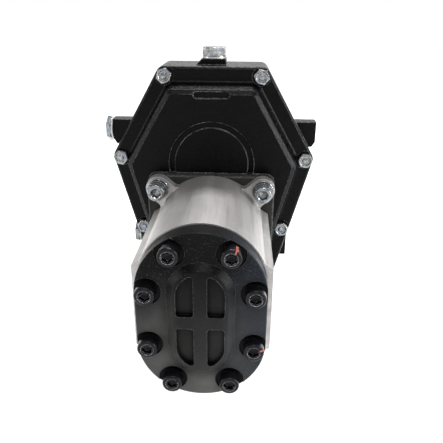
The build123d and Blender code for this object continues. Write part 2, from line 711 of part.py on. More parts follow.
BOLT_SEAT = FLANGE_FRONT - SPOTFACE_DEPTH
BOLT_TIP = HOUSING_DEPTH - M8_DEPTH + THREAD_RUNOUT
BOLT_TURN = 15.0
DISH_RADIUS = 4.6
DISH_DEPTH = 0.8
HEX_CHAMFER = 0.6
with BuildPart() as cover_bolts:
    with BuildSketch(facing(BOLT_SEAT)):
        with Locations(*BOX_BOLTS):
            RegularPolygon(M8_HEX / 2, 6, major_radius=False, rotation=BOLT_TURN)
    extrude(amount=M8_HEAD)
    chamfer(cover_bolts.faces().group_by(Axis.Y)[0].edges(), HEX_CHAMFER)
    with BuildSketch(facing(BOLT_SEAT + M8_HEAD - DISH_DEPTH)):
        with Locations(*BOX_BOLTS):
            Circle(DISH_RADIUS)
            Circle(DISH_RADIUS / 2, mode=Mode.SUBTRACT)
    extrude(amount=DISH_DEPTH, mode=Mode.SUBTRACT)
    with BuildSketch(facing(BOLT_TIP)):
        with Locations(*BOX_BOLTS):
            Circle(M8_RADIUS - THREAD_GAP)
    extrude(amount=BOLT_SEAT - BOLT_TIP)
save(cover_bolts, "cover_bolts")

with BuildPart() as dowel_pins:
    with BuildSketch(facing(HOUSING_DEPTH - DOWEL_REACH)):
        with Locations(*DOWEL_PLACES):
            Circle(DOWEL_RADIUS)
    extrude(amount=GASKET + 2 * DOWEL_REACH)
save(dowel_pins, "dowel_pins")

for plug_name, plane, hex_height, thread, reach in PLUGS:
    save(oil_plug(plane, hex_height, thread), f"{plug_name}_plug")
    save(plug_washer(plane), f"{plug_name}_washer")


# ---------------------------------------------------------------------------- input hub

KEY_BACK = WHEEL_BACK + KEY_MARGIN
KEY_FRONT = WHEEL_FRONT - KEY_MARGIN
KEY_FOOT = WHEEL_SEAT_RADIUS - KEY_SINK
with BuildPart() as input_hub:
    for radius, back, front in (
        (HUB_RADIUS, HUB_MOUTH, HUB_FRONT_SEAT_END),
        (COLLAR_RADIUS, REAR_SEAT_FRONT, WHEEL_BACK),
        (WHEEL_SEAT_RADIUS, WHEEL_BACK, WHEEL_FRONT),
    ):
        with BuildSketch(facing(back)):
            Circle(radius)
        extrude(amount=front - back)
    chamfer(input_hub.faces().sort_by(Axis.Y)[-1].edges(), HUB_CHAMFER)
    with BuildSketch(facing(HUB_MOUTH)):
        spline_section(PTO_MINOR, PTO_MAJOR, PTO_KEYS, PTO_KEY_WIDTH)
    extrude(amount=PTO_LENGTH, mode=Mode.SUBTRACT)
    with BuildSketch(facing(HUB_MOUTH)):
        Circle(PTO_LEAD_RADIUS)
    extrude(amount=PTO_LEAD, mode=Mode.SUBTRACT)
    with BuildSketch(facing(KEY_BACK, KEY_FOOT)):
        Rectangle(KEY_WIDTH, KEY_HEIGHT, align=(Align.CENTER, Align.MIN))
    extrude(amount=KEY_FRONT - KEY_BACK, mode=Mode.SUBTRACT)
save(input_hub, "input_hub")

with BuildPart() as wheel_key:
    with BuildSketch(facing(KEY_BACK, KEY_FOOT)):
        Rectangle(KEY_WIDTH, KEY_HEIGHT, align=(Align.CENTER, Align.MIN))
    extrude(amount=KEY_FRONT - KEY_BACK)
save(wheel_key, "wheel_key")

WEB_INNER = 38.0
WEB_OUTER = 66.0
WEB_RECESS = 5.0
WEB_HOLES = 6
WEB_HOLE_RADIUS = 9.0
with BuildPart() as input_gear:
    with BuildSketch(facing(WHEEL_BACK)):
        with BuildLine():
            gear_outline(WHEEL_TEETH, MODULE, BOX_PRESSURE_ANGLE, -90 + 180 / WHEEL_TEETH)
        make_face()
        Circle(WHEEL_SEAT_RADIUS, mode=Mode.SUBTRACT)
        with PolarLocations((WEB_INNER + WEB_OUTER) / 2, WEB_HOLES):
            Circle(WEB_HOLE_RADIUS, mode=Mode.SUBTRACT)
        with Locations((0, KEY_FOOT)):
            Rectangle(
                KEY_WIDTH,
                KEY_HEIGHT + KEY_GAP,
                align=(Align.CENTER, Align.MIN),
                mode=Mode.SUBTRACT,
            )
    extrude(amount=WHEEL_FRONT - WHEEL_BACK)
    for recess_back in (WHEEL_BACK, WHEEL_FRONT - WEB_RECESS):
        with BuildSketch(facing(recess_back)):
            Circle(WEB_OUTER)
            Circle(WEB_INNER, mode=Mode.SUBTRACT)
        extrude(amount=WEB_RECESS, mode=Mode.SUBTRACT)
save(input_gear, "input_gear")

gear_spacer = washer(HUB_RADIUS, COLLAR_RADIUS, WHEEL_FRONT, FRONT_SEAT_BACK)
save(gear_spacer, "gear_spacer")
hub_seal = washer(HUB_RADIUS + LIP_GAP, SEAL_RADIUS, SEAL_SINK, HUB_REAR_SEAT)
save(hub_seal, "hub_oil_seal")

for place, seat in (("rear", HUB_REAR_SEAT), ("front", FRONT_SEAT_BACK)):
    ball_bearing(
        f"hub_{place}_bearing",
        HUB_RADIUS,
        HUB_BEARING_RADIUS,
        seat,
        HUB_BEARING_WIDTH,
        HUB_BALL_RADIUS,
        HUB_BALLS,
        0.0,
    )


# ---------------------------------------------------------------------------- pinion

with BuildPart() as pinion:
    with BuildSketch(facing(PINION_BACK, DRIVE_HEIGHT)):
        with BuildLine():
            gear_outline(PINION_TEETH, MODULE, BOX_PRESSURE_ANGLE, 90)
        make_face()
    extrude(amount=PINION_FRONT - PINION_BACK)
    for radius, back, front in (
        (JOURNAL_RADIUS, PINION_REAR_SEAT, PINION_FRONT_SEAT_END),
        (SLEEVE_RADIUS, PINION_FRONT_SEAT_END, SLEEVE_FRONT),
        (JOURNAL_RADIUS + PINION_SHOULDER, REAR_SEAT_FRONT, FRONT_SEAT_BACK),
    ):
        with BuildSketch(facing(back, DRIVE_HEIGHT)):
            Circle(radius)
        extrude(amount=front - back)
    with BuildSketch(facing(SPLINE_BACK, DRIVE_HEIGHT)):
        spline_section(
            SHAFT_SPLINE_MINOR + SPLINE_GAP,
            SHAFT_RADIUS + SPLINE_GAP,
            PTO_KEYS,
            SHAFT_SPLINE_KEY + 2 * SPLINE_GAP,
        )
    extrude(amount=SPLINE_LENGTH, mode=Mode.SUBTRACT)
save(pinion, "pinion")

for place, seat in (("rear", PINION_REAR_SEAT), ("front", FRONT_SEAT_BACK)):
    ball_bearing(
        f"pinion_{place}_bearing",
        JOURNAL_RADIUS,
        PINION_BEARING_RADIUS,
        seat,
        PINION_BEARING_WIDTH,
        PINION_BALL_RADIUS,
        PINION_BALLS,
        DRIVE_HEIGHT,
    )


# ---------------------------------------------------------------------------- pump body

LUG_ZONE = PORT_FLAT_HEIGHT / 2 + SHOULDER_RISE + 1
with BuildPart() as pump_body:
    with BuildSketch(facing(PAD_FRONT, PUMP_HEIGHT)) as pump_flange:
        stadium(BODY_ARC_RADIUS, ARC_OFFSET)
        port_flats()
        for side in (-1, 1):
            for end in (-1, 1):
                lug = (side * MOUNT_WIDTH / 2, end * MOUNT_HEIGHT / 2)
                arc_centre = (0, end * ARC_OFFSET)
                with BuildLine():
                    spine = Line(arc_centre, lug)
                SlotCenterPoint(
                    center=spine @ 0.5, point=spine @ 1, height=2 * LUG_RADIUS
                )
        valleys = pump_flange.vertices().filter_by(
            lambda corner: abs(corner.Y) > LUG_ZONE
            and abs(hypot(corner.X, abs(corner.Y) - ARC_OFFSET) - BODY_ARC_RADIUS) < 0.1
        )
        fillet(valleys, LUG_VALLEY)
    extrude(amount=PUMP_FLANGE)
    with BuildSketch(facing(PUMP_FLANGE_FRONT, PUMP_HEIGHT)):
        stadium(BODY_ARC_RADIUS, ARC_OFFSET)
        port_flats()
    extrude(amount=BODY_LENGTH)
    with BuildSketch(facing(PAD_FRONT - PILOT_LENGTH, DRIVE_HEIGHT)):
        Circle(PILOT_RADIUS)
    extrude(amount=PILOT_LENGTH)
    # chamber for the gears and their bearing blocks
    with BuildSketch(facing(CHAMBER_BACK)):
        with Locations((0, DRIVE_HEIGHT), (0, DRIVEN_HEIGHT)):
            Circle(CHAMBER_RADIUS)
    extrude(amount=BODY_FRONT - CHAMBER_BACK, mode=Mode.SUBTRACT)
    with BuildSketch(facing(SHAFT_SEAL_FRONT, DRIVE_HEIGHT)):
        Circle(SHAFT_RADIUS + SHAFT_HOLE_GAP)
    extrude(amount=CHAMBER_BACK - SHAFT_SEAL_FRONT, mode=Mode.SUBTRACT)
    with BuildSketch(facing(PAD_FRONT - PILOT_LENGTH, DRIVE_HEIGHT)):
        Circle(SHAFT_SEAL_RADIUS)
    extrude(amount=SHAFT_SEAL_FRONT - PAD_FRONT + PILOT_LENGTH, mode=Mode.SUBTRACT)
    with BuildSketch(facing(SHAFT_SEAL_BACK - CIRCLIP_WIDTH, DRIVE_HEIGHT)):
        Circle(CIRCLIP_RADIUS)
    extrude(amount=CIRCLIP_WIDTH, mode=Mode.SUBTRACT)
    with BuildSketch(facing(PAD_FRONT, DRIVE_HEIGHT)):
        Circle(O_RING_RADIUS + O_RING_SECTION + O_RING_GAP)
        Circle(O_RING_RADIUS - O_RING_SECTION - O_RING_GAP, mode=Mode.SUBTRACT)
    extrude(amount=2 * O_RING_SECTION + O_RING_GAP, mode=Mode.SUBTRACT)
    with BuildSketch(facing(BODY_FRONT - SEAL_TRACK_DEPTH, PUMP_HEIGHT)):
        stadium(SEAL_TRACK_OUTER, PUMP_CENTRES / 2)
        with BuildSketch(Plane.XY, mode=Mode.SUBTRACT):
            stadium(SEAL_TRACK_INNER, PUMP_CENTRES / 2)
    extrude(amount=SEAL_TRACK_DEPTH, mode=Mode.SUBTRACT)
    with BuildSketch(facing(BODY_FRONT - END_THREAD_DEPTH)):
        with Locations(*END_BOLTS):
            Circle(M10_RADIUS)
    extrude(amount=END_THREAD_DEPTH, mode=Mode.SUBTRACT)
    with BuildSketch(facing(PAD_FRONT)):
        with Locations(*MOUNT_PLACES):
            Circle(M10_CLEARANCE)
    extrude(amount=PUMP_FLANGE, mode=Mode.SUBTRACT)
    # suction port on the left, pressure port on the right, each with a narrower way inside
    for side, port, way, bolt_circle, thread in (
        (-1, INLET_RADIUS, INLET_WAY_RADIUS, INLET_BOLT_CIRCLE, M10_RADIUS),
        (1, OUTLET_RADIUS, OUTLET_WAY_RADIUS, OUTLET_BOLT_CIRCLE, M8_RADIUS),
    ):
        port_face = sideways(side, BODY_WIDTH / 2, PORT_STATION, PUMP_HEIGHT)
        for radius, depth in ((port, PORT_DEPTH), (way, BODY_WIDTH / 2)):
            with BuildSketch(port_face):
                Circle(radius)
            extrude(amount=-depth, mode=Mode.SUBTRACT)
        with BuildSketch(port_face):
            with PolarLocations(bolt_circle / 2, 4, start_angle=45):
                Circle(thread)
        extrude(amount=-PORT_THREAD_DEPTH, mode=Mode.SUBTRACT)
save(pump_body, "pump_body")

with BuildPart() as pump_end_cover:
    with BuildSketch(facing(BODY_FRONT, PUMP_HEIGHT)):
        stadium(COVER_ARC_RADIUS, ARC_OFFSET)
    extrude(amount=END_COVER)
    fillet(pump_end_cover.faces().sort_by(Axis.Y)[0].edges(), END_COVER_FILLET)
    with BuildSketch(facing(END_COVER_FRONT, PUMP_HEIGHT)):
        stadium(WEB_BASE_RADIUS, WEB_OFFSET)
    extrude(amount=WEB_RISE, taper=WEB_TAPER)
    fillet(pump_end_cover.faces().sort_by(Axis.Y)[0].edges(), WEB_FILLET)
    with BuildSketch(facing(WEB_FRONT - POCKET_DEPTH, PUMP_HEIGHT)) as pockets:
        stadium(POCKET_RADIUS, WEB_OFFSET)
        Rectangle(POCKET_RIB, 4 * POCKET_RADIUS + WEB_OFFSET, mode=Mode.SUBTRACT)
        Rectangle(4 * POCKET_RADIUS, POCKET_RIB, mode=Mode.SUBTRACT)
        rib_corners = pockets.vertices().filter_by(
            lambda corner: min(abs(corner.X), abs(corner.Y)) < POCKET_RIB / 2 + 0.1
        )
        fillet(rib_corners, POCKET_FILLET)
    extrude(amount=POCKET_DEPTH, mode=Mode.SUBTRACT)
    with BuildSketch(facing(END_COVER_FRONT - END_SPOTFACE_DEPTH)):
        with Locations(*END_BOLTS):
            Circle(END_SPOTFACE)
    extrude(amount=WEB_RISE + END_SPOTFACE_DEPTH, mode=Mode.SUBTRACT)
    with BuildSketch(facing(BODY_FRONT)):
        with Locations(*END_BOLTS):
            Circle(M10_CLEARANCE)
    extrude(amount=END_COVER, mode=Mode.SUBTRACT)
save(pump_end_cover, "pump_end_cover")

END_BOLT_SEAT = END_COVER_FRONT - END_SPOTFACE_DEPTH
END_BOLT_LENGTH = END_BOLT_SEAT - BODY_FRONT + END_THREAD_DEPTH - THREAD_RUNOUT
end_cover_bolts = socket_screws(END_BOLTS, END_BOLT_SEAT, END_BOLT_LENGTH)
save(end_cover_bolts, "end_cover_bolts")

FLAT_WASHER = 1.8
FLAT_WASHER_RADIUS = 10.0
SPRING_WASHER = 2.4
with BuildPart() as flat_washers:
    with BuildSketch(facing(PUMP_FLANGE_FRONT)):
        with Locations(*MOUNT_PLACES):
            Circle(FLAT_WASHER_RADIUS)
            Circle(M10_CLEARANCE, mode=Mode.SUBTRACT)
    extrude(amount=FLAT_WASHER)
save(flat_washers, "flat_washers")

SPRING_WASHER_RADIUS = 8.6
SPRING_WASHER_GAP = 0.1
SPLIT_WIDTH = 1.6
SPLIT_ANGLE = -60.0
with BuildPart() as spring_washers:
    with BuildSketch(facing(PUMP_FLANGE_FRONT + FLAT_WASHER)):
        with Locations(*MOUNT_PLACES):
            Circle(SPRING_WASHER_RADIUS)
            Circle(M10_RADIUS + SPRING_WASHER_GAP, mode=Mode.SUBTRACT)
            Rectangle(
                SPRING_WASHER_RADIUS + 1,
                SPLIT_WIDTH,
                align=(Align.MIN, Align.CENTER),
                rotation=SPLIT_ANGLE,
                mode=Mode.SUBTRACT,
            )
    extrude(amount=SPRING_WASHER)
save(spring_washers, "spring_washers")

FLANGE_BOLT_SEAT = PUMP_FLANGE_FRONT + FLAT_WASHER + SPRING_WASHER
FLANGE_BOLT_LENGTH = FLANGE_BOLT_SEAT - PAD_FRONT + PAD_THREAD_DEPTH - THREAD_RUNOUT
flange_bolts = socket_screws(MOUNT_PLACES, FLANGE_BOLT_SEAT, FLANGE_BOLT_LENGTH)
save(flange_bolts, "flange_bolts")

with BuildPart() as end_cover_seal:
    with BuildSketch(facing(BODY_FRONT - SEAL_TRACK_DEPTH, PUMP_HEIGHT)):
        stadium(SEAL_TRACK_OUTER, PUMP_CENTRES / 2)
        with BuildSketch(Plane.XY, mode=Mode.SUBTRACT):
            stadium(SEAL_TRACK_INNER, PUMP_CENTRES / 2)
    extrude(amount=SEAL_TRACK_DEPTH)
save(end_cover_seal, "end_cover_seal")

with BuildPart() as pilot_o_ring:
    with Locations((0, -(PAD_FRONT + O_RING_SECTION), DRIVE_HEIGHT)):
        Torus(O_RING_RADIUS, O_RING_SECTION, rotation=(90, 0, 0))
save(pilot_o_ring, "pilot_o_ring")


# ---------------------------------------------------------------------------- pump inside

for block_name, block_back in (
    ("rear_bearing_block", CHAMBER_BACK),
    ("front_bearing_block", BODY_FRONT - BLOCK_WIDTH),
):
    with BuildPart() as block:
        with BuildSketch(facing(block_back)):
            with Locations((0, DRIVE_HEIGHT), (0, DRIVEN_HEIGHT)):
                Circle(CHAMBER_RADIUS - RUNNING_GAP)
            with Locations((0, DRIVE_HEIGHT), (0, DRIVEN_HEIGHT)):
                Circle(BUSH_RADIUS, mode=Mode.SUBTRACT)
        extrude(amount=BLOCK_WIDTH)
    save(block, block_name)

with BuildPart() as shaft_bushes:
    for block_back in (CHAMBER_BACK, BODY_FRONT - BLOCK_WIDTH):
        with BuildSketch(facing(block_back)):
            with Locations((0, DRIVE_HEIGHT), (0, DRIVEN_HEIGHT)):
                Circle(BUSH_RADIUS)
                Circle(SHAFT_RADIUS + RUNNING_GAP, mode=Mode.SUBTRACT)
        extrude(amount=BLOCK_WIDTH)
save(shaft_bushes, "shaft_bushes")

SHAFT_FRONT = BODY_FRONT - SHAFT_END_GAP
with BuildPart() as drive_gear_shaft:
    with BuildSketch(facing(SLEEVE_FRONT, DRIVE_HEIGHT)):
        Circle(SHAFT_RADIUS)
    extrude(amount=SHAFT_FRONT - SLEEVE_FRONT)
    with BuildSketch(facing(GEAR_BACK, DRIVE_HEIGHT)):
        with BuildLine():
            gear_outline(PUMP_TEETH, PUMP_MODULE, PUMP_PRESSURE_ANGLE, 90)
        make_face()
    extrude(amount=GEAR_FRONT - GEAR_BACK)
    with BuildSketch(facing(SPLINE_BACK + SPLINE_END_GAP, DRIVE_HEIGHT)):
        spline_section(SHAFT_SPLINE_MINOR, SHAFT_RADIUS, PTO_KEYS, SHAFT_SPLINE_KEY)
    extrude(amount=SPLINE_LENGTH - SPLINE_END_GAP)
save(drive_gear_shaft, "drive_gear_shaft")

with BuildPart() as driven_gear_shaft:
    with BuildSketch(facing(CHAMBER_BACK + SHAFT_END_GAP, DRIVEN_HEIGHT)):
        Circle(SHAFT_RADIUS)
    extrude(amount=SHAFT_FRONT - CHAMBER_BACK - SHAFT_END_GAP)
    with BuildSketch(facing(GEAR_BACK, DRIVEN_HEIGHT)):
        with BuildLine():
            gear_outline(PUMP_TEETH, PUMP_MODULE, PUMP_PRESSURE_ANGLE, -90 + 180 / PUMP_TEETH)
        make_face()
    extrude(amount=GEAR_FRONT - GEAR_BACK)
save(driven_gear_shaft, "driven_gear_shaft")

shaft_seal = washer(
    SHAFT_RADIUS + LIP_GAP, SHAFT_SEAL_RADIUS, SHAFT_SEAL_BACK, SHAFT_SEAL_FRONT, DRIVE_HEIGHT
)
save(shaft_seal, "shaft_seal")

with BuildPart() as seal_circlip:
    with BuildSketch(facing(SHAFT_SEAL_BACK - CIRCLIP_WIDTH, DRIVE_HEIGHT)):
        Circle(CIRCLIP_RADIUS)
        Circle(CIRCLIP_RADIUS - CIRCLIP_RING, mode=Mode.SUBTRACT)
        Rectangle(
            2 * CIRCLIP_RADIUS,
            CIRCLIP_MOUTH,
            align=(Align.MIN, Align.CENTER),
            mode=Mode.SUBTRACT,
        )
    extrude(amount=CIRCLIP_WIDTH)
save(seal_circlip, "seal_circlip")
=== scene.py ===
import json
import math
import random

import bmesh
import bpy
from mathutils import Matrix, Vector


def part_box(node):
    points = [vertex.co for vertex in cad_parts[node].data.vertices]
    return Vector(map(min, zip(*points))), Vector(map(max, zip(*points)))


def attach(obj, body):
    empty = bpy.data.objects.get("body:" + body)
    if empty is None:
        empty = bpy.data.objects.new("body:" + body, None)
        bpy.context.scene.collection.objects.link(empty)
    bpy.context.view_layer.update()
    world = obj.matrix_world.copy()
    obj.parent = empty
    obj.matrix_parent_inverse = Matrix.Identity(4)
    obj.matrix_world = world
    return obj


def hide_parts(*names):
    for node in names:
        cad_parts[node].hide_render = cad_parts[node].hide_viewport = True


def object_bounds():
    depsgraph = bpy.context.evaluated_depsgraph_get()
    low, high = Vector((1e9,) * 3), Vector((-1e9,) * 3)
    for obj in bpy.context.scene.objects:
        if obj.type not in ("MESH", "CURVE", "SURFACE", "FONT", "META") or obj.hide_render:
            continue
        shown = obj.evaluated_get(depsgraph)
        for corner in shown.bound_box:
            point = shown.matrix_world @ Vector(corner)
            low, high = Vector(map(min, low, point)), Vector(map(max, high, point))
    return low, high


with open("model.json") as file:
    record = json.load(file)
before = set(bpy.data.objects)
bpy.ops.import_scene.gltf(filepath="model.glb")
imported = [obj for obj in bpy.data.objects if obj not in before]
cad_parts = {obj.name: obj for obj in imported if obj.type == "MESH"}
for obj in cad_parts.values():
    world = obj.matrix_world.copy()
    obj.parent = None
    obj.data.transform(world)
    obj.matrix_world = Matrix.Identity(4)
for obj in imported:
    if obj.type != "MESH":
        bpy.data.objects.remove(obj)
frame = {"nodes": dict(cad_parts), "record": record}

cad_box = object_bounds()
scene = bpy.context.scene
nodes = frame["nodes"]


# ---------------------------------------------------------------- camera

CAMERA_PLACE = (0.027245, -0.53859, 0.139507)
CAMERA_PITCH = math.radians(23.385)
CAMERA_YAW = math.radians(2.1197)
CAMERA_ROLL = math.radians(0.5273)
CAMERA_LENS, CAMERA_SENSOR = 40.35, 36.0
CAMERA_NEAR, CAMERA_FAR = 0.01, 20.0


def make_camera():
    """A camera above the end cover, looking down and slightly to the left."""
    pitch, yaw, roll = CAMERA_PITCH, CAMERA_YAW, CAMERA_ROLL
    forward = Vector((-math.sin(yaw) * math.cos(pitch), math.cos(yaw) * math.cos(pitch),
                      -math.sin(pitch)))
    level = Vector((math.cos(yaw), math.sin(yaw), 0.0))
    raised = level.cross(forward)
    right = math.cos(roll) * level + math.sin(roll) * raised
    up = math.cos(roll) * raised - math.sin(roll) * level
    data = bpy.data.cameras.new("camera")
    data.sensor_width = CAMERA_SENSOR
    data.lens = CAMERA_LENS
    data.clip_start, data.clip_end = CAMERA_NEAR, CAMERA_FAR
    camera = bpy.data.objects.new("camera", data)
    scene.collection.objects.link(camera)
    turned = Matrix((right, up, -forward)).transposed().to_4x4()
    camera.matrix_world = Matrix.Translation(CAMERA_PLACE) @ turned
    scene.camera = camera


make_camera()


# ---------------------------------------------------------------- shader helpers

MIX_A, MIX_B, MIX_RESULT = 6, 7, 2
BEVEL_SAMPLES, RECESS_SAMPLES = 6, 8
EDGE_FLAT, EDGE_SHARP = 0.995, 0.80
FRONT_START, FRONT_FULL = -0.80, -0.95
BAND_CORE = 0.8


class Shader:
    """A material whose nodes are added and linked by short calls."""

    def __init__(self, name):
        self.material = bpy.data.materials.new(name)
        self.material.use_nodes = True
        self.tree = self.material.node_tree
        self.bsdf = self.tree.nodes["Principled BSDF"]
        self.coords = self.tree.nodes.new("ShaderNodeTexCoord").outputs["Object"]

    def link(self, source, target):
        """Joins an output socket to an input socket."""
        self.tree.links.new(source, target)

    def put(self, socket, value):
        """Links a socket to another node's output, or sets its value."""
        if isinstance(value, bpy.types.NodeSocket):
            self.link(value, socket)
        else:
            socket.default_value = value

    def stretched(self, scale, turn=(0.0, 0.0, 0.0)):
        """Object coordinates, scaled per axis."""
        node = self.tree.nodes.new("ShaderNodeMapping")
        node.inputs["Scale"].default_value = scale
        node.inputs["Rotation"].default_value = turn
        self.link(self.coords, node.inputs["Vector"])
        return node.outputs["Vector"]

    def noise(self, size, detail=3.0, roughness=0.5, distortion=0.0, vector=None):
        """Noise whose features are about size metres wide."""
        node = self.tree.nodes.new("ShaderNodeTexNoise")
        self.link(vector or self.coords, node.inputs["Vector"])
        node.inputs["Scale"].default_value = 1.0 / size
        node.inputs["Detail"].default_value = detail
        node.inputs["Roughness"].default_value = roughness
        node.inputs["Distortion"].default_value = distortion
        return node.outputs["Fac"]

    def ramp(self, value, low, high, from_value=0.0, to_value=1.0):
        """value between low and high, mapped to from_value..to_value."""
        node = self.tree.nodes.new("ShaderNodeMapRange")
        self.link(value, node.inputs["Value"])
        node.inputs["From Min"].default_value = low
        node.inputs["From Max"].default_value = high
        node.inputs["To Min"].default_value = from_value
        node.inputs["To Max"].default_value = to_value
        return node.outputs["Result"]

    def math(self, operation, a, b=0.0):
        """The result of a math operation on a and b."""
        node = self.tree.nodes.new("ShaderNodeMath")
        node.operation = operation
        self.put(node.inputs[0], a)
        self.put(node.inputs[1], b)
        return node.outputs["Value"]

    def mix(self, factor, a, b):
        """Colour a where factor is 0 and b where it is 1."""
        node = self.tree.nodes.new("ShaderNodeMix")
        node.data_type = "RGBA"
        self.put(node.inputs["Factor"], factor)
        for index, value in ((MIX_A, a), (MIX_B, b)):
            self.put(node.inputs[index], self.opaque(value))
        return node.outputs[MIX_RESULT]

    def opaque(self, colour):
        """A colour of three numbers with an alpha of 1; a socket stays as it is."""
        return colour if isinstance(colour, bpy.types.NodeSocket) else (*colour, 1.0)

    def bump(self, height, distance, strength=1.0, normal=None):
        """A normal raised by height times distance metres."""
        node = self.tree.nodes.new("ShaderNodeBump")
        self.put(node.inputs["Height"], height)
        node.inputs["Distance"].default_value = distance
        node.inputs["Strength"].default_value = strength
        if normal is not None:
            self.link(normal, node.inputs["Normal"])
        return node.outputs["Normal"]

    def rounded(self, radius):
        """A normal that rounds the hard edges by radius metres."""
        node = self.tree.nodes.new("ShaderNodeBevel")
        node.samples = BEVEL_SAMPLES
        node.inputs["Radius"].default_value = radius
        return node.outputs["Normal"]

    def edges(self, radius):
        """1 on the hard edges and 0 away from them."""
        geometry = self.tree.nodes.new("ShaderNodeNewGeometry")
        dot = self.tree.nodes.new("ShaderNodeVectorMath")
        dot.operation = "DOT_PRODUCT"
        self.link(self.rounded(radius), dot.inputs[0])
        self.link(geometry.outputs["Normal"], dot.inputs[1])
        return self.ramp(dot.outputs["Value"], EDGE_FLAT, EDGE_SHARP)

    def recess(self, distance, low=0.25, high=0.85):
        """1 in narrow recesses and 0 on open surfaces."""
        node = self.tree.nodes.new("ShaderNodeAmbientOcclusion")
        node.samples = RECESS_SAMPLES
        node.inputs["Distance"].default_value = distance
        return self.ramp(node.outputs["AO"], low, high, 1.0, 0.0)

    def facing_front(self):
        """1 on faces that look forwards and 0 on the others."""
        geometry = self.tree.nodes.new("ShaderNodeNewGeometry")
        split = self.tree.nodes.new("ShaderNodeSeparateXYZ")
        self.link(geometry.outputs["Normal"], split.inputs[0])
        return self.ramp(split.outputs["Y"], FRONT_START, FRONT_FULL)

    def band(self, value, middle, half_width):
        """1 where value lies within half_width of the middle and 0 elsewhere."""
        offset = self.math("ABSOLUTE", self.math("SUBTRACT", value, middle))
        return self.ramp(offset, half_width, half_width * BAND_CORE)

    def along(self, axis):
        """Object coordinate along X, Y or Z."""
        node = self.tree.nodes.new("ShaderNodeSeparateXYZ")
        self.link(self.coords, node.inputs[0])
        return node.outputs[axis]

    def finish(self, colour, roughness, metallic, normal=None, **others):
        """Fills in the surface shader and gives the material."""
        self.put(self.bsdf.inputs["Base Color"], self.opaque(colour))
        self.put(self.bsdf.inputs["Roughness"], roughness)
        self.put(self.bsdf.inputs["Metallic"], metallic)
        if normal is not None:
            self.link(normal, self.bsdf.inputs["Normal"])
        for name, value in others.items():
            self.bsdf.inputs[name.replace("_", " ")].default_value = value
        return self.material


# ---------------------------------------------------------------- materials

PAD_RISE, PAD_BLEND = 0.010, 0.002
SPOTFACE_DROP, SPOTFACE_BAND = 0.007, 0.0007
# colour of the painted shade in the end cover's recesses
PAINTED_RECESS_SHADE = (0.0006, 0.0006, 0.0007)


def black_enamel():
    """Black paint over a sand casting, with thin edges that are partly worn paint and partly a
    painted highlight, and dust on the pump's pad.
    """
    s = Shader("black_enamel")
    grain = s.noise(0.0013, 3.0, 0.65)
    swell = s.noise(0.014, 2.0, 0.5)
    sparkle = s.ramp(s.noise(0.0009, 2.0, 0.7), 0.44, 0.66, 0.08, 1.0)
    stretches = s.ramp(s.noise(0.012, 2.0), 0.42, 0.60, 0.25, 1.0)
    sparkle = s.math("MULTIPLY", sparkle, stretches)
    # thin: light grey along the hard edges, broken up by sparkle; partly worn paint and partly
    # a painted highlight on the bevels
    thin = s.math("MULTIPLY", s.edges(0.0010), sparkle)
    pad_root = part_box("gearbox_cover")[0].y + PAD_RISE
    pad = s.ramp(s.along("Y"), pad_root, pad_root - PAD_BLEND)
    lighten_mask = s.math("MULTIPLY", pad, s.ramp(swell, 0.2, 0.8, 0.6, 1.0))
    colour = s.mix(swell, (0.0004, 0.0004, 0.0006), (0.0014, 0.0013, 0.0014))
    colour = s.mix(lighten_mask, colour, (0.022, 0.022, 0.021))
    colour = s.mix(thin, colour, (0.42, 0.42, 0.44))
    rough = s.ramp(s.noise(0.006, 3.0), 0.3, 0.7, 0.18, 0.30)
    normal = s.bump(grain, 0.00040, 0.8, s.bump(swell, 0.0010, 0.4, s.rounded(0.0014)))
    return s.finish(colour, rough, 0.0, normal, Specular_IOR_Level=0.07)


def raw_aluminium():
    """Bare extruded aluminium: lengthwise streaks, patches, scratches and painted shade that
    darkens the top.
    """
    s = Shader("raw_aluminium")
    body_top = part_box("pump_body")[1].z
    streaks = s.noise(0.0016, 4.0, 0.75, 0.0, s.stretched((1.0, 0.03, 1.0)))
    bands = s.noise(0.010, 3.0, 0.6, 0.0, s.stretched((1.0, 0.12, 1.0)))
    patches = s.noise(0.024, 4.0, 0.6)
    scratches = s.noise(0.0009, 2.0, 0.5, 0.4, s.stretched((0.16, 1.0, 0.16), (0.0, 0.0, 0.5)))
    colour = s.mix(s.ramp(streaks, 0.3, 0.7), (0.31, 0.295, 0.29), (0.46, 0.45, 0.445))
    colour = s.mix(s.ramp(bands, 0.35, 0.7, 0.0, 0.55), colour, (0.27, 0.255, 0.25))
    colour = s.mix(s.ramp(patches, 0.5, 0.8, 0.0, 0.5), colour, (0.52, 0.52, 0.53))
    colour = s.mix(s.ramp(scratches, 0.66, 0.74, 0.0, 0.5), colour, (0.64, 0.64, 0.64))
    # painted shade: the top of the pump body is made darker
    painted_top_shade = s.ramp(s.along("Z"), body_top - 0.022, body_top - 0.002, 0.0, 0.6)
    colour = s.mix(painted_top_shade, colour, (0.19, 0.182, 0.178))
    rough = s.ramp(bands, 0.3, 0.7, 0.40, 0.56)
    normal = s.bump(streaks, 0.00010, 0.6, s.rounded(0.0006))
    return s.finish(colour, rough, 0.85, normal)


